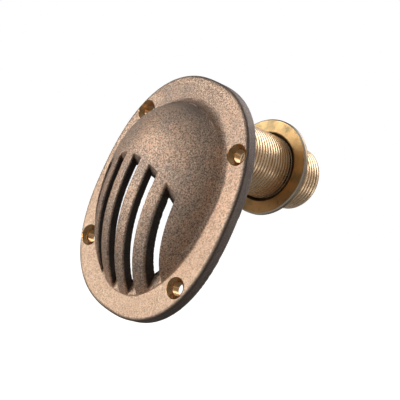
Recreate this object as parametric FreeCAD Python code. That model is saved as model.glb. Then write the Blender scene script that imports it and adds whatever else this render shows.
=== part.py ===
"""Through-hull intake strainer: a bronze casting with an oval flange, a slotted dome and a threaded tail, and its flange nut.

Millimetres. The tail's axis is +Y, which points inboard, and Y = 0 is the face that seats on the hull.
The dome stands on the outboard side, towards -Y, and its slots point down, towards -Z.
Lengths called down are measured from the tail's axis towards -Z.
"""
import FreeCAD
import Part
import math
import os

os.makedirs("parts", exist_ok=True)

Vector = FreeCAD.Vector

# Tail: outside diameter of a G 1 pipe thread, with a plain waterway
TAIL_R = 16.62
TAIL_WALL = 3.62
TAIL_LONG = 82.5
TAIL_CHAMFER = 1.2
TAIL_BORE_R = TAIL_R - TAIL_WALL

# Flange: an oval that is a little squarer than an ellipse and slightly wider at its lower end
FLANGE_THICK = 6.8
FLANGE_LONG = 121.0
FLANGE_WIDE = 87.4
FLANGE_OVER_TAIL = 11.6
FLANGE_POWER = 2.36
FLANGE_EGG = 0.025
FLANGE_BEVEL = 0.9
OUTLINE_POINTS = 20
ARC_TOLERANCE = 0.1
FLANGE_TOP = -TAIL_R - FLANGE_OVER_TAIL
FLANGE_BOTTOM = FLANGE_TOP + FLANGE_LONG
FLANGE_MIDDLE = FLANGE_TOP + FLANGE_LONG / 2.0

# Countersunk screw holes, four in a rectangle, set in from the flange's extent
HOLE_IN_LONG = 26.75
HOLE_IN_WIDE = 11.7
HOLE_R = 3.2
SINK_R = 5.1
SINK_DEEP = 1.9

# Dome: its height over the flange is a smooth formula of the place, and its rims are the flange's bare borders
DOME_HIGH = 26.1
DOME_BACK = 38.0
RIM_TOP = 14.3
RIM_BOTTOM = 10.5
RIM_SIDE = 12.0
NOSE_PLAN_POWER = 2.26
BACK_PLAN_POWER = 2.02
SIDE_POWERS = (1.76, 0.51)
NOSE_POWERS = (2.27, 0.92)
BACK_POWERS = (2.66, 0.53)
DOME_SOFT = 0.055
DOME_TOE = 1.28
DOME_TOP = FLANGE_TOP + RIM_TOP
DOME_MIDDLE = DOME_TOP + DOME_BACK
DOME_NOSE = FLANGE_BOTTOM - RIM_BOTTOM - DOME_MIDDLE
DOME_HALF_WIDE = FLANGE_WIDE / 2.0 - RIM_SIDE
GRID_LONG = 36
GRID_WIDE = 26

# Shell of the dome, and the opening in the flange under the slots
WALL = 5.0
NOSE_WALL = 1.05 * WALL
OPENING_LAND = 4.4
OPENING_TOP = TAIL_R + OPENING_LAND
OPENING_FLARE = 0.8 * WALL
OPENING_POWER = 8.0
OPENING_POINTS = 40
BORE_RISE = 1.2

# Slots: parallel cuts that end at the top in one plane at 45 degrees and stop short of the flange
SLOT_COUNT = 5
SLOT_WIDE = 5.3
SLOT_FLOOR = 2.3
SLOT_TOP = 17.5
SLOT_SIDE_WALL = 8.17
SLOT_PITCH = (2.0 * (DOME_HALF_WIDE - SLOT_SIDE_WALL) - SLOT_WIDE) / (SLOT_COUNT - 1)

# Nut: a round seat and a low hexagon, at a place on the tail that it can leave either way
NUT_PLACE = 55.4
NUT_HIGH = 7.0
NUT_CLEARANCE = 0.05
NUT_WALL = 2.33
NUT_SEAT_BORDER = 6.0
NUT_SEAT_THICK = 3.0
NUT_CHAMFER = 0.6
NUT_SINK = 1.1
NUT_BORE_R = TAIL_R + NUT_CLEARANCE
NUT_FLAT_R = NUT_BORE_R + NUT_WALL
NUT_SEAT_R = NUT_FLAT_R + NUT_SEAT_BORDER

# Length by which a cut runs past what it cuts
PAST = 12.0


def at(side, y, down):
    """Point from its side distance, its place along the tail and its distance below the tail's axis."""
    return Vector(side, y, -down)


def rod(radius, y_from, y_to, side=0.0, down=0.0):
    """Cylinder parallel to the tail."""
    return Part.makeCylinder(radius, y_to - y_from, at(side, y_from, down), Vector(0, 1, 0))


def cone(y_from, radius_from, y_to, radius_to, side=0.0, down=0.0):
    """Cone parallel to the tail."""
    return Part.makeCone(radius_from, radius_to, y_to - y_from, at(side, y_from, down), Vector(0, 1, 0))


def slab(y_from, y_to, down_from):
    """Box wider than the flange, from the distance down_from to past the flange's lower end."""
    long = FLANGE_BOTTOM + PAST - down_from
    return Part.makeBox(2.0 * FLANGE_WIDE, y_to - y_from, long, at(-FLANGE_WIDE, y_from, down_from + long))


def arcs_through(points):
    """Closed wire of tangent arcs that follows a smooth curve through the points."""
    curve = Part.BSplineCurve()
    curve.interpolate(points, PeriodicFlag=True)
    return Part.Wire([arc.toShape() for arc in curve.toBiArcs(ARC_TOLERANCE)])


def dome_height(side, down, inset, nose_inset):
    """Height of the dome, or of the hollow that is inset from it, over the flange's front face."""
    low = down > DOME_MIDDLE
    reach = DOME_NOSE - nose_inset if low else DOME_BACK - inset
    along = abs(down - DOME_MIDDLE) / reach
    across = abs(side) / (DOME_HALF_WIDE - inset)
    plan_power = NOSE_PLAN_POWER if low else BACK_PLAN_POWER
    plan = (along ** plan_power + across ** plan_power) ** (1.0 / plan_power)
    bias = (along ** 2 / (along ** 2 + across ** 2 + 1e-9)) ** 1.5
    end_powers = NOSE_POWERS if low else BACK_POWERS
    inner = SIDE_POWERS[0] + (end_powers[0] - SIDE_POWERS[0]) * bias
    outer = SIDE_POWERS[1] + (end_powers[1] - SIDE_POWERS[1]) * bias
    room = 1.0 - plan ** inner
    soft = (room + math.sqrt(room ** 2 + DOME_SOFT ** 2)) / (1.0 + math.sqrt(1.0 + DOME_SOFT ** 2))
    return (DOME_HIGH - inset + DOME_TOE) * soft ** outer - DOME_TOE


def dome_block(inset, nose_inset, y_to):
    """Solid between the dome's surface and the plane y_to."""
    rows = []
    for i in range(GRID_LONG + 1):
        down = FLANGE_TOP + (FLANGE_BOTTOM - FLANGE_TOP) * i / GRID_LONG
        row = []
        for j in range(GRID_WIDE + 1):
            side = FLANGE_WIDE / 2.0 * (2.0 * j / GRID_WIDE - 1.0)
            row.append(at(side, -FLANGE_THICK - dome_height(side, down, inset, nose_inset), down))
        rows.append(row)
    surface = Part.BSplineSurface()
    surface.interpolate(rows)
    block = surface.toShape().extrude(Vector(0, 2.0 * DOME_HIGH, 0))
    if block.Volume < 0:
        block.reverse()
    return block.common(slab(-2.0 * (FLANGE_THICK + DOME_HIGH), y_to, FLANGE_TOP - PAST))


def opening_wire(y, inset, nose_inset):
    """Line of the opening in the plane y: the hollow's foot, closed at the top by a straight edge with round corners."""
    middle = (DOME_MIDDLE + OPENING_TOP + DOME_NOSE) / 2.0
    points = []
    for i in range(OPENING_POINTS):
        turn = 2.0 * math.pi * i / OPENING_POINTS
        near = 0.0
        far = FLANGE_LONG / 2.0
        for step in range(30):
            reach = (near + far) / 2.0
            side = reach * math.sin(turn)
            down = middle + reach * math.cos(turn)
            if dome_height(side, down, inset, nose_inset) > SLOT_FLOOR:
                near = reach
            else:
                far = reach
        to_top = max(-math.cos(turn), 0.0) / (middle - OPENING_TOP)
        reach = (reach ** -OPENING_POWER + to_top ** OPENING_POWER) ** (-1.0 / OPENING_POWER)
        points.append(at(reach * math.sin(turn), y, middle + reach * math.cos(turn)))
    curve = Part.BSplineCurve()
    curve.interpolate(points, PeriodicFlag=True)
    return Part.Wire([curve.toShape()])


def flange_face(y, inset=0.0):
    """Face inside the flange's edge, or inside a line that is inset from it."""
    points = []
    for i in range(OUTLINE_POINTS):
        turn = 2.0 * math.pi * i / OUTLINE_POINTS
        c = math.cos(turn)
        s = math.sin(turn)
        along = math.copysign(abs(c) ** (2.0 / FLANGE_POWER), c)
        across = math.copysign(abs(s) ** (2.0 / FLANGE_POWER), s)
        side = (FLANGE_WIDE / 2.0 - inset) * across * (1.0 + FLANGE_EGG * along)
        points.append(at(side, y, FLANGE_MIDDLE + (FLANGE_LONG / 2.0 - inset) * along))
    return Part.Face(arcs_through(points))


def lies_at(piece, y):
    """Whether an edge or a face lies wholly in the plane y."""
    return abs(piece.BoundBox.YMin - y) < 1e-3 and abs(piece.BoundBox.YMax - y) < 1e-3


def edges_at(shape, y):
    """Edges of a shape that lie wholly in the plane y."""
    return [edge for edge in shape.Edges if lies_at(edge, y)]


# Flange plate with its broken front edge
plate = flange_face(-FLANGE_THICK).extrude(Vector(0, FLANGE_THICK, 0))
plate = plate.makeChamfer(FLANGE_BEVEL, edges_at(plate, -FLANGE_THICK))

# Dome, sunk into the plate up to a line that is inset from the flange's edge
dome_field = flange_face(-2.0 * (FLANGE_THICK + DOME_HIGH), 5.0 * FLANGE_BEVEL)
dome_field = dome_field.extrude(Vector(0, 2.0 * (FLANGE_THICK + DOME_HIGH), 0))
dome = dome_block(0.0, 0.0, -0.5 * FLANGE_THICK).common(dome_field)
casting = plate.fuse(dome)

# Tail with a chamfered end
tail = rod(TAIL_R, -0.3 * FLANGE_THICK, TAIL_LONG)
tail = tail.makeChamfer(TAIL_CHAMFER, edges_at(tail, TAIL_LONG))
casting = casting.fuse(tail)

# Hollow of the dome, and the opening under its lower part, which flares through the flange towards the hull
slot_floor = -FLANGE_THICK - SLOT_FLOOR
chamber = dome_block(WALL, NOSE_WALL, -FLANGE_THICK)
opening_front = opening_wire(-2.0 * FLANGE_THICK, WALL + OPENING_FLARE, NOSE_WALL + OPENING_FLARE)
opening_back = opening_wire(FLANGE_THICK, WALL - 2.0 * OPENING_FLARE, NOSE_WALL - 2.0 * OPENING_FLARE)
opening = Part.makeLoft([opening_front, opening_back], True, True)
casting = casting.cut(chamber)
casting = casting.cut(opening)

# Waterway through the tail, which rises a little into the chamber's back wall
casting = casting.cut(rod(TAIL_BORE_R, -FLANGE_THICK - BORE_RISE, TAIL_LONG + PAST))

# Slots
over_dome = FLANGE_THICK + DOME_HIGH + PAST
for i in range(SLOT_COUNT):
    side = (i - (SLOT_COUNT - 1) / 2.0) * SLOT_PITCH - SLOT_WIDE / 2.0
    corners = [
        at(side, -over_dome, SLOT_TOP - PAST),
        at(side, slot_floor, SLOT_TOP + FLANGE_THICK + DOME_HIGH + slot_floor),
        at(side, slot_floor, FLANGE_BOTTOM + PAST),
        at(side, -over_dome, FLANGE_BOTTOM + PAST),
    ]
    profile = Part.makePolygon(corners + corners[:1])
    casting = casting.cut(Part.Face(profile).extrude(Vector(SLOT_WIDE, 0, 0)))

# Countersunk screw holes, whose cutter also clears the dome's foot
hole_side = FLANGE_WIDE / 2.0 - HOLE_IN_WIDE
hole_along = FLANGE_LONG / 2.0 - HOLE_IN_LONG
for side in (-hole_side, hole_side):
    for down in (FLANGE_MIDDLE - hole_along, FLANGE_MIDDLE + hole_along):
        hole = rod(HOLE_R, -FLANGE_THICK - PAST, PAST, side, down)
        sink = cone(-FLANGE_THICK, SINK_R, -FLANGE_THICK + SINK_DEEP, HOLE_R, side, down)
        relief = rod(SINK_R, -FLANGE_THICK - PAST, -FLANGE_THICK, side, down)
        casting = casting.cut(hole.fuse([sink, relief]))

casting = casting.removeSplitter()
casting.exportStep("parts/strainer_casting.step")

# Flange nut: the round seat faces the hull, and the hexagon behind it has a bevelled far end
nut_back = NUT_PLACE + NUT_HIGH
seat = rod(NUT_SEAT_R, NUT_PLACE, NUT_PLACE + NUT_SEAT_THICK)
seat = seat.makeChamfer(NUT_CHAMFER, edges_at(seat, NUT_PLACE) + edges_at(seat, NUT_PLACE + NUT_SEAT_THICK))
corner_r = NUT_FLAT_R / math.cos(math.pi / 6.0)
corners = []
for i in range(6):
    turn = math.pi / 3.0 * i
    corners.append(at(corner_r * math.cos(turn), NUT_PLACE + NUT_SEAT_THICK / 2.0, corner_r * math.sin(turn)))
profile = Part.makePolygon(corners + corners[:1])
hexagon = Part.Face(profile).extrude(Vector(0, NUT_HIGH - NUT_SEAT_THICK / 2.0, 0))
hexagon = hexagon.common(cone(NUT_PLACE, NUT_FLAT_R + NUT_HIGH, nut_back, NUT_FLAT_R))
nut = seat.fuse(hexagon)
nut = nut.cut(rod(NUT_BORE_R, NUT_PLACE - PAST, nut_back + PAST))
nut = nut.cut(cone(NUT_PLACE, NUT_BORE_R + NUT_SINK, NUT_PLACE + NUT_SINK, NUT_BORE_R))
nut = nut.cut(cone(nut_back - NUT_SINK, NUT_BORE_R, nut_back, NUT_BORE_R + NUT_SINK))
nut = nut.removeSplitter()
nut.exportStep("parts/flange_nut.step")
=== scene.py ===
"""Through-hull intake strainer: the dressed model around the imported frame.

+Y is the tail's axis and points inboard, Y = 0 is the face that seats on the hull, and -Z is down.
The pieces' sizes are in millimetres, and MM turns them into metres. The camera, the lamps and the
floor are in metres.
"""
import math

import bmesh
import bpy
import numpy as np
from mathutils import Matrix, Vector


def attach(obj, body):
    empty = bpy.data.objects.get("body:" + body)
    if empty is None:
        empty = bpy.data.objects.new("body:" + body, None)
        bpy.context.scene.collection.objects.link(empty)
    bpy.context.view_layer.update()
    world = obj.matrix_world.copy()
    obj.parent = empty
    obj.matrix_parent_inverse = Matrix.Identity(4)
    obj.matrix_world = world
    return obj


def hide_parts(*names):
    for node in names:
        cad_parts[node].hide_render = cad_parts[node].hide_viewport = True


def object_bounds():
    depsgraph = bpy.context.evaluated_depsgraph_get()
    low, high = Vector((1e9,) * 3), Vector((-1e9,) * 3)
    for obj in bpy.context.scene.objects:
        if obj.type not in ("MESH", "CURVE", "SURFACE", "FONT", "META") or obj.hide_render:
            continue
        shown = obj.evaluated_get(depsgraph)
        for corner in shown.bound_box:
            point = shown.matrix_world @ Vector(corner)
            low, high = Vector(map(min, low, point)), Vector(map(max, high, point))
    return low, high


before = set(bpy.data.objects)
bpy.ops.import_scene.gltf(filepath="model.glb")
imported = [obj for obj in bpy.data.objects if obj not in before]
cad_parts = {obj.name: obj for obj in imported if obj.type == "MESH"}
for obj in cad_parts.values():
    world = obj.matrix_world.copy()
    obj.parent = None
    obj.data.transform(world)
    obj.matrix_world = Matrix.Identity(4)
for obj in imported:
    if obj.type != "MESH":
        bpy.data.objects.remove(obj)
cad_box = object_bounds()

# Flange and dome of the strainer casting: one sand casting in bronze. The oval flange carries a
# hollow dome with five parallel slots, and four countersunk holes for the screws. It is the surface
# of a distance field, because a surface of two parameters can't carry the slots with soft edges. The
# flange's half sizes are 0.05 mm inside the solid's.
MM = 0.001
FLANGE_THICK = 6.8
FLANGE_HALF_LONG = 60.45
FLANGE_HALF_WIDE = 43.64
FLANGE_MIDDLE = 32.28
FLANGE_POWER = 2.36
FLANGE_EGG = 0.025
FLANGE_EDGE_R = 1.6
FLANGE_BACK_R = 0.5
DOME_HIGH = 26.1
DOME_MIDDLE = 24.08
DOME_BACK = 38.0
DOME_NOSE = 58.2
DOME_HALF_WIDE = 31.7
NOSE_PLAN_POWER = 2.26
BACK_PLAN_POWER = 2.02
SIDE_POWERS = (1.76, 0.51)
NOSE_POWERS = (2.27, 0.92)
BACK_POWERS = (2.66, 0.53)
DOME_SOFT = 0.055
DOME_TOE = 1.28
DOME_BLEND = 1.6
BACK_FILLET = 9.0
FOOT_HIGH = 1.2
FOOT_STEEP = 2.5
DOME_SUNK = 1.5
DOME_TO_EDGE = 3.0
WALL = 5.0
NOSE_WALL = 5.25
OPENING_LEVEL = 2.3
OPENING_TOP = 21.02
OPENING_FLARE = 4.0
OPENING_CORNER = 8.0
OPENING_OVER = 0.5
SLOT_PITCH = 10.44
SLOT_PLACES = [SLOT_PITCH * k for k in range(-2, 3)]
SLOT_WIDE = 5.3
SLOT_END = 0.6
SLOT_TOP = 17.5
HOLE_SIDE = 32.0
HOLE_ALONG = 33.75
HOLE_R = 3.2
SINK_R = 5.1
SINK_DEEP = 1.9
TAIL_R = 16.62
BORE_R = 13.0
BORE_RISE = 1.2
CAST_CELL = 0.597
HOLLOW_SOFT = 0.2
SLOT_SOFT = 0.35
HOLE_SOFT = 0.15


def dome_height(side, down, inset, nose_inset, soft=DOME_SOFT):
    """Height over the flange: DOME_HIGH times (1 - plan ** inner) ** outer. The plan radius is a
    superellipse with a longer nose than back, and the powers change from the sides to the ends. With
    soft above 0 the height runs out flat at the foot, and with 0 it dives under the flange there."""
    low = down > DOME_MIDDLE
    reach = np.where(low, DOME_NOSE - nose_inset, DOME_BACK - inset)
    along = np.abs(down - DOME_MIDDLE) / reach
    across = np.abs(side) / (DOME_HALF_WIDE - inset)
    plan_power = np.where(low, NOSE_PLAN_POWER, BACK_PLAN_POWER)
    plan = (along ** plan_power + across ** plan_power) ** (1.0 / plan_power)
    bias = (along ** 2 / (along ** 2 + across ** 2 + 1e-9)) ** 1.5
    inner, outer = [
        side_power + (np.where(low, nose_power, back_power) - side_power) * bias
        for side_power, nose_power, back_power in zip(SIDE_POWERS, NOSE_POWERS, BACK_POWERS)
    ]
    room = 1.0 - plan ** inner
    if soft == 0.0:
        return DOME_HIGH * np.sign(room) * np.abs(room) ** outer
    eased = (room + np.sqrt(room ** 2 + soft ** 2)) / (1.0 + math.sqrt(1.0 + soft ** 2))
    return (DOME_HIGH - inset + DOME_TOE) * eased ** outer - DOME_TOE


def dome_depth(side, down, level, inset, nose_inset, soft=DOME_SOFT):
    """Distance from the dome of a point at the height level: its height over the dome, divided by the
    length of the vector (slope across, slope along, 1)."""
    step = 0.05
    high = dome_height(side, down, inset, nose_inset, soft)
    slope_side = (dome_height(side + step, down, inset, nose_inset, soft) - high) / step
    slope_down = (dome_height(side, down + step, inset, nose_inset, soft) - high) / step
    return (level - high) / np.sqrt(1.0 + slope_side ** 2 + slope_down ** 2)


def both(a, b, r):
    """Common part of two solids given as distances: the larger of a and b, its edge rounded to r."""
    return np.minimum(np.maximum(a, b), -r) + np.hypot(np.maximum(a + r, 0.0), np.maximum(b + r, 0.0))


def joined(a, b, r):
    """Union of two solids given as distances: the smaller of a and b, with a hollow blend of size r."""
    near = np.maximum(r - np.abs(a - b), 0.0) / r
    return np.minimum(a, b) - near ** 2 * r / 4.0


def flange_edge(side, down):
    """Distance to the flange's edge in plan, negative inside: the plan radius of a superellipse that is
    wider at its lower end, less 1, divided by the length of that radius's slope."""
    along = (down - FLANGE_MIDDLE) / FLANGE_HALF_LONG
    half_wide = FLANGE_HALF_WIDE * (1.0 + FLANGE_EGG * np.clip(along, -1.0, 1.0))
    across = np.abs(side) / half_wide
    along = np.abs(along)
    oval = (along ** FLANGE_POWER + across ** FLANGE_POWER + 1e-12) ** (1.0 / FLANGE_POWER)
    pull = oval ** (1.0 - FLANGE_POWER)
    slope_along = pull * along ** (FLANGE_POWER - 1.0) / FLANGE_HALF_LONG
    slope_across = pull * across ** (FLANGE_POWER - 1.0) / half_wide
    return (oval - 1.0) / np.maximum(np.hypot(slope_along, slope_across), 0.5 / FLANGE_HALF_LONG)


def skin_distance(x, y, z):
    """Distance to the outer skin, negative inside: an oval plate, joined to the dome that stands on it.
    The foot is crisp at the nose and the sides, and a wide fillet at the back."""
    down = -z
    height = -y - FLANGE_THICK
    edge = flange_edge(x, down)
    plate = both(both(edge, height, FLANGE_EDGE_R), y, FLANGE_BACK_R)
    at_back = np.clip((DOME_MIDDLE - down) / DOME_BACK, 0.0, 1.0)
    dome = dome_depth(x, down, height, 0.0, 0.0)
    high = dome_height(x, down, 0.0, 0.0)
    dome += FOOT_STEEP * (1.0 - at_back) * np.maximum(FOOT_HIGH - high, 0.0)
    within = np.maximum(y + DOME_SUNK, edge + DOME_TO_EDGE)
    dome = np.maximum(dome, within)
    body = joined(plate, dome, DOME_BLEND * np.clip(-y / FLANGE_THICK, 0.1, 1.0))
    fillet = BACK_FILLET * np.maximum(at_back, 0.02) * np.clip(-y / FLANGE_THICK, 0.02, 1.0)
    steep = np.maximum(dome_depth(x, down, height, 0.0, 0.0, 0.0), within)
    return np.minimum(body, joined(plate, steep, fillet))


def casting_distance(x, y, z):
    """Distance to the casting's surface: the outer skin, less the hollow, the slots and the holes. Each
    slot lies round a plane of one X, from a floor over the flange up to a top that slopes at 45 degrees."""
    down = -z
    height = -y - FLANGE_THICK
    body = skin_distance(x, y, z)
    chamber = np.maximum(dome_depth(x, down, height, WALL, NOSE_WALL), -height)
    flare = OPENING_FLARE * np.maximum(1.0 + y / FLANGE_THICK, 0.0)
    opening = dome_depth(x, down, OPENING_LEVEL, WALL - flare, NOSE_WALL - flare)
    opening = both(opening, OPENING_TOP - down, OPENING_CORNER)
    opening = np.maximum(opening, height - OPENING_OVER)
    bore = np.maximum(np.hypot(x, z) - BORE_R, height - BORE_RISE)
    hollow = np.minimum(np.minimum(chamber, opening), bore)

    slot = np.min([np.abs(x - place) for place in SLOT_PLACES], axis=0) - SLOT_WIDE / 2.0
    slot = np.maximum(slot, SLOT_END - height)
    slot = np.maximum(slot, (SLOT_TOP + DOME_HIGH - height - down) / math.sqrt(2.0))

    from_hole = np.hypot(np.abs(x) - HOLE_SIDE, np.abs(down - FLANGE_MIDDLE) - HOLE_ALONG)
    cone = (from_hole - SINK_R - (SINK_R - HOLE_R) / SINK_DEEP * np.minimum(height, 0.0)) / math.sqrt(2.0)
    hole = np.minimum(from_hole - HOLE_R, np.maximum(cone, -height - SINK_DEEP - 1.0))
    body = both(body, -hollow, HOLLOW_SOFT)
    body = both(body, -slot, SLOT_SOFT)
    return both(body, -hole, HOLE_SOFT)


def surface_at_zero(distance, low, high, cell):
    """Mesh where a distance field is zero: one point in each cell of a grid that the surface crosses,
    put where it lies nearest to the tangent planes at the crossings of the cell's edges, and one face
    of four points for each crossed edge. A light pull to the crossings' mean keeps flat cells steady."""
    counts = np.ceil((np.array(high) - low) / cell).astype(int) + 1
    axes = [low[k] + cell * np.arange(counts[k]) for k in range(3)]
    field = distance(*np.meshgrid(*axes, indexing="ij"))
    inside = field < 0.0
    cells = counts - 1
    cell_sum = np.zeros(tuple(cells) + (3,))
    cell_count = np.zeros(tuple(cells))
    cell_matrix = np.zeros(tuple(cells) + (3, 3))
    cell_right = np.zeros(tuple(cells) + (3,))
    crossings = []
    for k in range(3):
        first = [slice(None)] * 3
        second = [slice(None)] * 3
        first[k] = slice(0, -1)
        second[k] = slice(1, None)
        crossed = np.argwhere(inside[tuple(first)] != inside[tuple(second)])
        step = np.zeros(3, int)
        step[k] = 1
        near = np.array(low) + cell * crossed
        far = near + cell * step
        value = field[tuple(crossed.T)]
        for halving in range(12):
            middle = (near + far) / 2.0
            same = (distance(*middle.T) < 0.0) == (value < 0.0)
            near = np.where(same[:, None], middle, near)
            far = np.where(same[:, None], far, middle)
        point = (near + far) / 2.0
        tiny = 0.02
        normal = np.stack([
            distance(*(point + tiny * axis).T) - distance(*(point - tiny * axis).T) for axis in np.eye(3)
        ], axis=1)
        normal /= np.linalg.norm(normal, axis=1)[:, None] + 1e-12
        others = [j for j in range(3) if j != k]
        owners = []
        for offset in ((0, 0), (-1, 0), (-1, -1), (0, -1)):
            owner = crossed.copy()
            owner[:, others[0]] += offset[0]
            owner[:, others[1]] += offset[1]
            owners.append(owner)
            place = tuple(np.clip(owner, 0, cells - 1).T)
            np.add.at(cell_sum, place, point)
            np.add.at(cell_count, place, 1.0)
            np.add.at(cell_matrix, place, normal[:, :, None] * normal[:, None, :])
            np.add.at(cell_right, place, normal * np.sum(normal * point, axis=1)[:, None])
        flip = (value < 0.0) != (k == 1)
        crossings.append((owners, flip))
    used = np.argwhere(cell_count > 0)
    place = tuple(used.T)
    mean = cell_sum[place] / cell_count[place][:, None]
    weight = 0.06
    matrix = cell_matrix[place] + weight * np.eye(3)
    right = cell_right[place] + weight * mean
    points = np.linalg.solve(matrix, right[:, :, None])[:, :, 0]
    corner = np.array(low) + cell * used
    points = np.clip(points, corner - 0.1 * cell, corner + 1.1 * cell)
    number = np.full(tuple(cells), -1)
    number[place] = np.arange(len(used))
    faces = []
    for owners, flip in crossings:
        quad = np.stack([number[tuple(owner.T)] for owner in owners], axis=1)
        faces.append(np.where(flip[:, None], quad, quad[:, ::-1]))
    return points, np.concatenate(faces)


def mesh_piece(name, points, faces, sharp_degrees=40.0):
    """Object whose mesh has these points and faces, shaded smooth but for its sharp edges."""
    mesh = bpy.data.meshes.new(name)
    mesh.from_pydata((np.asarray(points) * MM).tolist(), [], np.asarray(faces).tolist())
    apart = 0.004 * MM
    shape = bmesh.new()
    shape.from_mesh(mesh)
    bmesh.ops.remove_doubles(shape, verts=shape.verts, dist=apart)
    bmesh.ops.dissolve_degenerate(shape, edges=shape.edges, dist=apart)
    shape.to_mesh(mesh)
    shape.free()
    mesh.polygons.foreach_set("use_smooth", np.ones(len(mesh.polygons), dtype=bool))
    mesh.set_sharp_from_angle(angle=math.radians(sharp_degrees))
    piece = bpy.data.objects.new(name, mesh)
    bpy.context.scene.collection.objects.link(piece)
    return piece


points, faces = surface_at_zero(
    casting_distance,
    (-FLANGE_HALF_WIDE - 2.0, -FLANGE_THICK - DOME_HIGH - 1.0, -FLANGE_MIDDLE - FLANGE_HALF_LONG - 1.0),
    (FLANGE_HALF_WIDE + 2.0, 1.0, FLANGE_HALF_LONG - FLANGE_MIDDLE + 1.0),
    CAST_CELL,
)
casting = mesh_piece("flange_and_dome", points, faces, 50.0)
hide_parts("strainer_casting")
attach(casting, "strainer")


def new_node(tree, kind, inputs=(), **settings):
    """Node of a kind in a tree, with its settings, and its inputs either linked or set."""
    node = tree.nodes.new(kind)
    for key, value in settings.items():
        setattr(node, key, value)
    for key, value in dict(inputs).items():
        if isinstance(value, bpy.types.NodeSocket):
            tree.links.new(value, node.inputs[key])
        else:
            node.inputs[key].default_value = value
    return node


def new_material(name):
    """Empty material with a Principled shader on its output, and its object coordinates."""
    material = bpy.data.materials.new(name)
    material.use_nodes = True
    tree = material.node_tree
    tree.nodes.clear()
    shader = new_node(tree, "ShaderNodeBsdfPrincipled")
    new_node(tree, "ShaderNodeOutputMaterial", {"Surface": shader.outputs[0]})
    place = new_node(tree, "ShaderNodeTexCoord").outputs["Object"]
    return material, tree, shader, place


def noise(tree, place, scale, detail=2.0, rough=0.5):
    """Value of a noise with this many cells to the metre."""
    inputs = {"Vector": place, "Scale": scale, "Detail": detail, "Roughness": rough}
    return new_node(tree, "ShaderNodeTexNoise", inputs).outputs["Fac"]


def smooth_step(tree, value, low, high):
    """Value that eases from 0 at low to 1 at high."""
    inputs = {"Value": value, "From Min": low, "From Max": high}
    return new_node(tree, "ShaderNodeMapRange", inputs, interpolation_type="SMOOTHSTEP").outputs["Result"]


def math_node(tree, operation, a, b=0.0, clamp=False):
    """Result of one arithmetic step."""
    return new_node(tree, "ShaderNodeMath", {0: a, 1: b}, operation=operation, use_clamp=clamp).outputs[0]


def mixed(tree, factor, a, b):
    """Mix of two colours, each a socket or three numbers."""
    first, second = [value + (1.0,) if isinstance(value, tuple) else value for value in (a, b)]
    return new_node(tree, "ShaderNodeMix", {0: factor, 6: first, 7: second}, data_type="RGBA").outputs[2]


def distance_of(tree, a, b):
    """Square root of the sum of two squares."""
    squares = math_node(tree, "ADD", math_node(tree, "POWER", a, 2.0), math_node(tree, "POWER", b, 2.0))
    return math_node(tree, "SQRT", squares)


def product(tree, a, b):
    """Product of two values."""
    return math_node(tree, "MULTIPLY", a, b)


def toned(tree, base, mask, share, tone):
    """Base colour with a share of another tone over it where the mask is 1."""
    return mixed(tree, product(tree, mask, share), base, tone)


def group_of(name, inputs, outputs):
    """Empty node group with these sockets, each a name and its kind."""
    group = bpy.data.node_groups.new(name, "ShaderNodeTree")
    for key, kind in inputs:
        group.interface.new_socket(key, in_out="INPUT", socket_type="NodeSocket" + kind)
    for key, kind in outputs:
        group.interface.new_socket(key, in_out="OUTPUT", socket_type="NodeSocket" + kind)
    return group, group.nodes.new("NodeGroupInput").outputs, group.nodes.new("NodeGroupOutput").inputs


# Tarnish: soft patches in which the metal has dulled, with a few small stains, for all three finishes.
tarnish, given, result = group_of(
    "tarnish",
    [("Place", "Vector"), ("Clean", "Color"), ("Dull", "Color"), ("Patches", "Float"), ("Stains", "Float")],
    [("Colour", "Color"), ("Dulled", "Float")],
)
patch = noise(tarnish, given["Place"], given["Patches"], 4.0, 0.62)
stain = noise(tarnish, given["Place"], given["Stains"], 2.0, 0.5)
stained = product(tarnish, smooth_step(tarnish, stain, 0.60, 0.72), 0.6)
dulled = math_node(tarnish, "ADD", smooth_step(tarnish, patch, 0.40, 0.66), stained, clamp=True)
tarnish.links.new(mixed(tarnish, dulled, given["Clean"], given["Dull"]), result["Colour"])
tarnish.links.new(dulled, result["Dulled"])


def tarnished(tree, place, clean, dull, patches, stains):
    """Colour and dullness of the tarnish group with its values set."""
    inputs = {"Place": place, "Clean": clean + (1.0,), "Dull": dull + (1.0,)}
    inputs.update({"Patches": patches, "Stains": stains})
    outputs = new_node(tree, "ShaderNodeGroup", inputs, node_tree=tarnish).outputs
    return outputs["Colour"], outputs["Dulled"]


# Finish of the casting: matt sand-cast skin with a fine grain of dark pits and painted glints. Painted
# light makes the flange's face lighter, a little all over and most towards its lower end; painted shade
# darkens its edge and the dome's back; the slots and the hollow hold old oxide with painted shade over it,
# and the countersinks are bright from the tool.
CAST_CLEAN = (0.83, 0.55, 0.38)
CAST_DULL = (0.60, 0.44, 0.34)
CAST_PAINTED_LIGHT = (1.0, 0.69, 0.47)
CAST_PIT = (0.17, 0.13, 0.11)
CAST_GLINT = (1.0, 0.82, 0.66)
CAST_RIM_SHADE = (0.095, 0.075, 0.07)
CAST_SHADED = (0.19, 0.17, 0.16)
CAST_OXIDE_AND_SHADE = (0.020, 0.013, 0.009)
CAST_TURNED = (0.62, 0.36, 0.16)
SHADE_HIGH = 7.0
SHADE_START = 14.0
SHADE_FADE = 16.0
SHADE_RIGHT = 20.0
AT_SLOT_FLOOR = 0.5
AT_SLOT_TOP = 0.6


def mark_points(piece, name, values):
    """Value for each point of a piece, under a name that its material reads."""
    attribute = piece.data.attributes.new(name, "FLOAT", "POINT")
    attribute.data.foreach_set("value", values.astype(np.float32))


corners = np.zeros(3 * len(casting.data.vertices))
casting.data.vertices.foreach_get("co", corners)
x, y, z = corners.reshape(-1, 3).T / MM
height = -y - FLANGE_THICK
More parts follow.
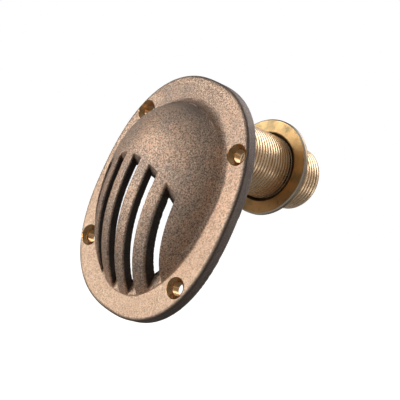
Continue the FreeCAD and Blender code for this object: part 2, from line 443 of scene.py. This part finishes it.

# Depth under the skin, where the oxide and the painted shade lie, but none on the slots' floors, which
# catch the light, and little at their tops.
slot_floor = np.abs(height - SLOT_END) < AT_SLOT_FLOOR
slot_top = np.abs(SLOT_TOP + DOME_HIGH - height + z) < AT_SLOT_TOP
oxide_and_shade_share = np.where(slot_floor, 0.0, np.where(slot_top, 0.4, 1.0))
mark_points(casting, "oxide_and_shade_depth", oxide_and_shade_share * np.maximum(-skin_distance(x, y, z), 0.0))

# Share of painted shade on the dome's back, strongest at SHADE_HIGH over the flange.
shaded = np.exp(-((height - SHADE_HIGH) / SHADE_HIGH) ** 2) * (height > 0.15)
shaded *= np.clip((DOME_MIDDLE + z - SHADE_START) / SHADE_FADE, 0.0, 1.0)
shaded *= np.clip((SHADE_RIGHT - x) / SHADE_FADE, 0.0, 1.0)
mark_points(casting, "painted_back_shade", shaded)
mark_points(casting, "past_edge", flange_edge(x, -z))

material, tree, shader, place = new_material("sand_cast_bronze")
base, dulled = tarnished(tree, place, CAST_CLEAN, CAST_DULL, 70.0, 420.0)
parts = new_node(tree, "ShaderNodeSeparateXYZ", {"Vector": place})
# Painted light: the flange's face is lighter, a little all over and most towards its lower end.
on_face = smooth_step(tree, parts.outputs["Y"], -(FLANGE_THICK + 1.2) * MM, -(FLANGE_THICK + 0.2) * MM)
low_down = smooth_step(tree, parts.outputs["Z"], 20.0 * MM, -70.0 * MM)
painted_face_light = product(tree, on_face, math_node(tree, "ADD", 0.15, product(tree, low_down, 0.70)))
base = mixed(tree, painted_face_light, base, CAST_PAINTED_LIGHT)

# Grain: dark pits, fewer where the face has painted light, and painted glints as light specks.
speck = noise(tree, place, 1400.0, 2.0, 0.85)
pits = smooth_step(tree, speck, 0.52, 0.38)
base = toned(tree, base, pits, math_node(tree, "SUBTRACT", 0.78, product(tree, painted_face_light, 0.48)), CAST_PIT)
base = toned(tree, base, smooth_step(tree, speck, 0.52, 0.66), 0.85, CAST_GLINT)

# Painted shade darkens the flange's rim.
edge = new_node(tree, "ShaderNodeAttribute", attribute_name="past_edge").outputs["Fac"]
base = toned(tree, base, smooth_step(tree, edge, -2.0, 0.1), 0.90, CAST_RIM_SHADE)
# Painted shade on the dome's back.
painted_back_shade = new_node(tree, "ShaderNodeAttribute", attribute_name="painted_back_shade").outputs["Fac"]
base = toned(tree, base, painted_back_shade, 0.75, CAST_SHADED)

# The four holes are one place when the signs of X and of the height over the flange's middle go.
side = math_node(tree, "SUBTRACT", math_node(tree, "ABSOLUTE", parts.outputs["X"]), HOLE_SIDE * MM)
above = math_node(tree, "ABSOLUTE", math_node(tree, "ADD", parts.outputs["Z"], FLANGE_MIDDLE * MM))
above = math_node(tree, "SUBTRACT", above, HOLE_ALONG * MM)
from_hole = distance_of(tree, side, above)
in_front = math_node(tree, "LESS_THAN", parts.outputs["Y"], -(FLANGE_THICK - SINK_DEEP - 0.6) * MM)
reach = math_node(tree, "ADD", (HOLE_R + 0.12) * MM, product(tree, in_front, (SINK_R - HOLE_R) * MM))
turned = math_node(tree, "LESS_THAN", from_hole, reach)
cast = math_node(tree, "SUBTRACT", 1.0, turned)

# Old oxide with painted shade over it, darker deeper inside the hollow and the slots.
oxide_and_shade_depth = new_node(tree, "ShaderNodeAttribute", attribute_name="oxide_and_shade_depth").outputs["Fac"]
oxide_and_shade = product(tree, smooth_step(tree, oxide_and_shade_depth, 0.1, 1.6), cast)
base = toned(tree, base, oxide_and_shade, 0.93, CAST_OXIDE_AND_SHADE)
base = mixed(tree, turned, base, CAST_TURNED)
tree.links.new(base, shader.inputs["Base Color"])

metal = math_node(tree, "ADD", 0.85, product(tree, turned, 0.10))
tree.links.new(math_node(tree, "SUBTRACT", metal, product(tree, oxide_and_shade, 0.60)), shader.inputs["Metallic"])
rough = math_node(tree, "ADD", 0.42, product(tree, dulled, 0.10))
rough = math_node(tree, "ADD", rough, product(tree, oxide_and_shade, 0.40))
tree.links.new(math_node(tree, "SUBTRACT", rough, product(tree, turned, 0.20)), shader.inputs["Roughness"])
grain = product(tree, noise(tree, place, 1700.0, 3.0, 0.7), cast)
bump = new_node(tree, "ShaderNodeBump", {"Height": grain, "Strength": 1.0, "Distance": 0.4 * MM})
tree.links.new(bump.outputs[0], shader.inputs["Normal"])
casting.data.materials.append(material)

# Tail of the same casting: turned on the outside and cut with a right-handed G 1 pipe thread over
# its length, with a plain waterway through it.
TAIL_LONG = 82.5
TAIL_CHAMFER = 1.2
THREAD_PITCH = 2.309
THREAD_DEPTH = 0.85
THREAD_START = 4.0
TAIL_ROUND = 144
TAIL_ROOT = -0.4
BORE_EDGE = 0.4
BORE_RINGS = (55.0, 27.0)
TAIL_CLEAN = (0.94, 0.69, 0.44)
TAIL_DULL = (0.80, 0.53, 0.31)
THREAD_ROOT_SHADE = (0.16, 0.09, 0.05)


def round_axis(radius, along, turn):
    """Points at a radius, a place along the tail's axis and a turn round it, as rows of three."""
    return np.stack([radius * np.sin(turn), along, radius * np.cos(turn)], axis=-1).reshape(-1, 3)


# One pitch of the thread: a crest that is nearly flat, then down to the root and up again.
pitch_along = THREAD_PITCH * np.array([0.0, 0.06, 0.34, 0.62, 0.68, 0.73, 0.78, 0.84, 0.90, 0.95])
pitch_deep = THREAD_DEPTH * np.array([0.04, 0.0, 0.0, 0.0, 0.04, 0.40, 0.85, 1.0, 0.85, 0.40])
per_pitch = len(pitch_along)

# The first two pitches start before the tail and the last one runs past it, and what lies outside is
# folded into its ends. The rows follow the helix, so that a row's last column meets the first column
# of the row one pitch on.
pitches = int(TAIL_LONG / THREAD_PITCH) + 3
i, j = np.meshgrid(np.arange(pitches * per_pitch), np.arange(TAIL_ROUND), indexing="ij")
along = (i // per_pitch - 2 + j / TAIL_ROUND) * THREAD_PITCH + pitch_along[i % per_pitch]
deep = pitch_deep[i % per_pitch] * np.clip((along - THREAD_START) / THREAD_PITCH, 0.0, 1.0)
along = np.clip(along, TAIL_ROOT, TAIL_LONG)
radius = np.minimum(TAIL_R - deep, TAIL_R - TAIL_CHAMFER + (TAIL_LONG - along))
points = round_axis(radius, along, 2.0 * math.pi * j / TAIL_ROUND)
last = j == TAIL_ROUND - 1
here = i * TAIL_ROUND + j
beside = np.where(last, (i + per_pitch) * TAIL_ROUND, here + 1)
faces = np.stack([here, beside, beside + TAIL_ROUND, here + TAIL_ROUND], axis=-1)
faces = faces[(i + 1 + np.where(last, per_pitch, 0)) < pitches * per_pitch]

# The waterway and the two ends close the tube.
spots = np.array([
    (TAIL_R - TAIL_CHAMFER, TAIL_LONG), (BORE_R + BORE_EDGE, TAIL_LONG), (BORE_R, TAIL_LONG - BORE_EDGE),
    (BORE_R, BORE_RINGS[0]), (BORE_R, BORE_RINGS[1]), (BORE_R, TAIL_ROOT), (TAIL_R, TAIL_ROOT),
])
i, j = np.meshgrid(np.arange(len(spots)), np.arange(TAIL_ROUND), indexing="ij")
bore_points = round_axis(spots[i, 0], spots[i, 1], 2.0 * math.pi * j / TAIL_ROUND)
here = i * TAIL_ROUND + j + len(points)
beside = i * TAIL_ROUND + (j + 1) % TAIL_ROUND + len(points)
bore_faces = np.stack([here, beside, beside + TAIL_ROUND, here + TAIL_ROUND], axis=-1)[:-1].reshape(-1, 4)
tail_points = np.concatenate([points, bore_points])
tail = mesh_piece("threaded_tail", tail_points, np.concatenate([faces, bore_faces]), 75.0)
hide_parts("strainer_casting")
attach(tail, "strainer")

# Finish of the tail: bright from the thread cutter on its crests, with painted shade in the roots, which
# are also rougher.
material, tree, shader, place = new_material("cut_thread_bronze")
base, dulled = tarnished(tree, place, TAIL_CLEAN, TAIL_DULL, 120.0, 700.0)
parts = new_node(tree, "ShaderNodeSeparateXYZ", {"Vector": place})
from_axis = distance_of(tree, parts.outputs["X"], parts.outputs["Z"])
# Painted shade in the thread's roots.
root = smooth_step(tree, from_axis, (TAIL_R - 0.15) * MM, (TAIL_R - 0.7) * MM)
tree.links.new(toned(tree, base, root, 0.85, THREAD_ROOT_SHADE), shader.inputs["Base Color"])
rough = math_node(tree, "ADD", 0.22, product(tree, dulled, 0.12))
tree.links.new(math_node(tree, "ADD", rough, product(tree, root, 0.2)), shader.inputs["Roughness"])
shader.inputs["Metallic"].default_value = 0.95
tail.data.materials.append(material)

# Flange nut: turned from bronze bar, with a broad round seat towards the hull and a low hexagon
# behind it, and the same thread inside, drawn here as a plain bore. It runs along the tail.
NUT_PLACE = 55.4
NUT_HIGH = 7.0
NUT_SEAT_THICK = 3.0
NUT_CHAMFER = 0.6
NUT_SINK = 1.1
NUT_BORE_R = 16.67
NUT_FLAT_R = 19.0
NUT_SEAT_R = 25.0
NUT_ROUND = 192
NUT_FACE_ROWS = 46
NUT_BORE_MIDDLE = 4.0
NUT_RIPPLE = 0.012
NUT_RIPPLE_RATE = 9.0
HEX_CHAMFER = 0.1
HEX_FILLET = 0.3
HEX_SIDE = 0.5
NUT_CLEAN = (0.84, 0.54, 0.24)
NUT_DULL = (0.50, 0.37, 0.19)
NUT_GAP_SHADE = (0.03, 0.02, 0.012)
NUT_SIDE_SHADE = (0.19, 0.15, 0.11)
NUT_EDGE_HIGHLIGHT = (0.98, 0.92, 0.80)
NUT_EDGE_SHADE = (0.05, 0.04, 0.03)
TOOL_RING = 0.45

# Each ring is a radius, which on the hexagon changes with the turn, and a height over the seat.
turn = 2.0 * math.pi * np.arange(NUT_ROUND) / NUT_ROUND
to_flat = (turn + math.pi / 6.0) % (math.pi / 3.0) - math.pi / 6.0
hexagon = NUT_FLAT_R / np.cos(to_flat)
bevel_start = np.maximum(NUT_HIGH - (hexagon - NUT_FLAT_R) - HEX_CHAMFER, NUT_SEAT_THICK + HEX_SIDE)
rings = [(NUT_BORE_R, NUT_HIGH - NUT_SINK), (NUT_BORE_R, NUT_BORE_MIDDLE), (NUT_BORE_R, NUT_SINK)]
face = np.linspace(NUT_BORE_R + NUT_SINK, NUT_SEAT_R - NUT_CHAMFER, NUT_FACE_ROWS)
rings += [(radius, NUT_RIPPLE * math.sin(radius * NUT_RIPPLE_RATE)) for radius in face]
rings += [(NUT_SEAT_R - 0.35, 0.12), (NUT_SEAT_R - 0.12, 0.35), (NUT_SEAT_R, NUT_CHAMFER)]
rings += [(NUT_SEAT_R, NUT_SEAT_THICK / 2.0), (NUT_SEAT_R, NUT_SEAT_THICK - NUT_CHAMFER)]
rings += [(NUT_SEAT_R - NUT_CHAMFER, NUT_SEAT_THICK), (hexagon + HEX_FILLET, NUT_SEAT_THICK)]
rings += [(hexagon, NUT_SEAT_THICK + HEX_FILLET), (hexagon, bevel_start)]
rings += [(np.minimum(hexagon, NUT_FLAT_R - HEX_CHAMFER), NUT_HIGH), (NUT_BORE_R + NUT_SINK, NUT_HIGH)]
radius, along = [np.array([ring[k] + 0.0 * turn for ring in rings]) for k in range(2)]
i, j = np.meshgrid(np.arange(len(rings)), np.arange(NUT_ROUND), indexing="ij")
next_i = (i + 1) % len(rings)
next_j = (j + 1) % NUT_ROUND
corners = [i * NUT_ROUND + j, i * NUT_ROUND + next_j, next_i * NUT_ROUND + next_j, next_i * NUT_ROUND + j]
nut_faces = np.stack(corners, axis=-1).reshape(-1, 4)
nut = mesh_piece("round_seat_nut", round_axis(radius, NUT_PLACE + along, turn), nut_faces, 25.0)
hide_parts("flange_nut")
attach(nut, "nut")

# Finish of the nut: turned faces with fine rings, golden where bright and olive brown where dulled.
# Painted shade darkens the gap at the bore and the side, and a painted highlight runs along the seat's
# front edge, with painted shade in its place at the upper left.
material, tree, shader, place = new_material("turned_nut_bronze")
base, dulled = tarnished(tree, place, NUT_CLEAN, NUT_DULL, 95.0, 380.0)
parts = new_node(tree, "ShaderNodeSeparateXYZ", {"Vector": place})
from_axis = distance_of(tree, parts.outputs["X"], parts.outputs["Z"])
# Painted shade in the gap between the nut's bore and the tail.
gap_shade = smooth_step(tree, from_axis, (NUT_BORE_R + NUT_SINK + 0.9) * MM, (NUT_BORE_R + NUT_SINK + 0.2) * MM)
base = toned(tree, base, gap_shade, 0.92, NUT_GAP_SHADE)
# Painted shade on the nut's side.
side = smooth_step(tree, from_axis, (NUT_SEAT_R - 0.10) * MM, (NUT_SEAT_R - 0.02) * MM)
base = toned(tree, base, side, 0.80, NUT_SIDE_SHADE)

# Painted highlight on the seat's front edge, near-white and less metallic.
at_edge = NUT_SEAT_R - NUT_CHAMFER
outer = smooth_step(tree, from_axis, (at_edge - 0.1) * MM, (at_edge + 0.1) * MM)
behind_edge = NUT_PLACE + NUT_CHAMFER
front = smooth_step(tree, parts.outputs["Y"], (behind_edge + 0.1) * MM, (behind_edge - 0.1) * MM)
edge_highlight = product(tree, outer, front)
base = mixed(tree, edge_highlight, base, NUT_EDGE_HIGHLIGHT)
# Painted shade in place of the edge's painted highlight at its upper left.
up_left = product(tree, parts.outputs["X"], -0.70)
up_left = math_node(tree, "ADD", up_left, product(tree, parts.outputs["Z"], 0.71))
up_left = smooth_step(tree, up_left, 0.25 * NUT_SEAT_R * MM, 0.75 * NUT_SEAT_R * MM)
base = toned(tree, base, edge_highlight, up_left, NUT_EDGE_SHADE)
tree.links.new(base, shader.inputs["Base Color"])

tree.links.new(math_node(tree, "SUBTRACT", 0.95, product(tree, edge_highlight, 0.85)), shader.inputs["Metallic"])
tree.links.new(math_node(tree, "ADD", 0.36, product(tree, dulled, 0.12)), shader.inputs["Roughness"])
tool_rings = math_node(tree, "SINE", product(tree, from_axis, 2.0 * math.pi / (TOOL_RING * MM)))
marks = math_node(tree, "ADD", product(tree, tool_rings, 0.15), noise(tree, place, 600.0, 3.0, 0.6))
bump = new_node(tree, "ShaderNodeBump", {"Height": marks, "Strength": 0.35, "Distance": 0.12 * MM})
tree.links.new(bump.outputs[0], shader.inputs["Normal"])
nut.data.materials.append(material)

# Camera: the photograph's viewpoint, found from the flange's outline, the screw holes, the nut and
# the tail in the picture.
camera_data = bpy.data.cameras.new("camera")
camera_data.sensor_width = 36.0
camera_data.lens = 110.81
camera = bpy.data.objects.new("camera", camera_data)
bpy.context.scene.collection.objects.link(camera)
right = (0.67017, 0.61204, 0.41985)
up = (-0.36543, -0.22026, 0.90440)
back = (0.64601, -0.75953, 0.07604)
place = (0.39041, -0.43838, 0.01844)
rows = [(right[k], up[k], back[k], place[k]) for k in range(3)]
camera.matrix_world = Matrix(rows + [(0.0, 0.0, 0.0, 1.0)])
bpy.context.scene.camera = camera

# Light: a broad soft lamp in front, a weaker one above and behind, a faint one straight behind, and a
# plain room. The camera sees the room as white. Metal sees it as a pale wall behind, with a bright
# patch high up.
BRIGHT_PATCH = (-0.15, 0.78, 0.61)
ROOM_LEVEL = 0.15
world = bpy.data.worlds.new("room")
bpy.context.scene.world = world
world.use_nodes = True
tree = world.node_tree
tree.nodes.clear()
path = new_node(tree, "ShaderNodeLightPath").outputs
toward = new_node(tree, "ShaderNodeTexCoord").outputs["Generated"]
toward = new_node(tree, "ShaderNodeVectorMath", {0: toward, 1: BRIGHT_PATCH}, operation="DOT_PRODUCT")
toward = toward.outputs["Value"]
wall = product(tree, smooth_step(tree, toward, -0.2, 0.6), 0.27)
patch = product(tree, smooth_step(tree, toward, 0.86, 0.93), 0.93)
in_metal = product(tree, path["Is Glossy Ray"], math_node(tree, "ADD", wall, patch))
seen = math_node(tree, "MAXIMUM", path["Is Camera Ray"], path["Is Transmission Ray"])
seen = math_node(tree, "MAXIMUM", seen, in_metal)
plain = new_node(tree, "ShaderNodeBackground", {"Color": (1.0, 0.99, 0.97, 1.0), "Strength": ROOM_LEVEL})
white = new_node(tree, "ShaderNodeBackground", {"Color": (1.0, 1.0, 1.0, 1.0), "Strength": 1.0})
mix = new_node(tree, "ShaderNodeMixShader", {0: seen, 1: plain.outputs[0], 2: white.outputs[0]})
new_node(tree, "ShaderNodeOutputWorld", {"Surface": mix.outputs[0]})
LAMP_AIM = (0.0, 0.02, -0.03)


def soft_lamp(name, place, size, watts):
    """Square area lamp at a place, turned to the middle of the strainer."""
    data = bpy.data.lights.new(name, "AREA")
    data.size = size
    data.energy = watts
    lamp = bpy.data.objects.new(name, data)
    bpy.context.scene.collection.objects.link(lamp)
    away = np.array(place) - LAMP_AIM
    away = away / np.linalg.norm(away)
    across = np.cross((0.0, 0.0, 1.0), away)
    across /= np.linalg.norm(across)
    over = np.cross(away, across)
    rows = [(across[k], over[k], away[k], place[k]) for k in range(3)]
    lamp.matrix_world = Matrix(rows + [(0.0, 0.0, 0.0, 1.0)])


soft_lamp("lamp_front", (-0.42, -1.12, -0.02), 0.6, 11.5)
soft_lamp("lamp_behind", (-0.05, 0.96, 0.72), 0.8, 4.0)
soft_lamp("lamp_back", (0.10, 0.95, -0.02), 0.5, 1.2)

# Floor: plain and pale, under the object. It glows up to white where the camera sees it, and far
# behind, where it runs into the backdrop, also in metal. The lamps' part of it keeps the shadow.
FLOOR_UNDER = 0.10
FLOOR_HALF = 3.0
floor_mesh = bpy.data.meshes.new("floor")
low = cad_box[0][2] - FLOOR_UNDER
floor_corners = [(a * FLOOR_HALF, b * FLOOR_HALF, low) for a, b in ((-1, -1), (1, -1), (1, 1), (-1, 1))]
floor_mesh.from_pydata(floor_corners, [], [(0, 1, 2, 3)])
floor = bpy.data.objects.new("floor", floor_mesh)
bpy.context.scene.collection.objects.link(floor)
material = bpy.data.materials.new("pale_floor")
material.use_nodes = True
tree = material.node_tree
tree.nodes.clear()
path = new_node(tree, "ShaderNodeLightPath").outputs
place = new_node(tree, "ShaderNodeTexCoord").outputs["Object"]
parts = new_node(tree, "ShaderNodeSeparateXYZ", {"Vector": place})
in_metal = product(tree, path["Is Glossy Ray"], smooth_step(tree, parts.outputs["Y"], 0.3, 1.5))
seen = math_node(tree, "MAXIMUM", path["Is Camera Ray"], path["Is Transmission Ray"])
seen = math_node(tree, "MAXIMUM", seen, in_metal)
matt = new_node(tree, "ShaderNodeBsdfDiffuse", {"Color": (0.40, 0.40, 0.40, 1.0)})
glow = new_node(tree, "ShaderNodeEmission", {"Strength": product(tree, seen, 0.97)})
glowing = new_node(tree, "ShaderNodeAddShader", {0: matt.outputs[0], 1: glow.outputs[0]})
new_node(tree, "ShaderNodeOutputMaterial", {"Surface": glowing.outputs[0]})
floor_mesh.materials.append(material)

bpy.context.scene.view_settings.view_transform = "Standard"
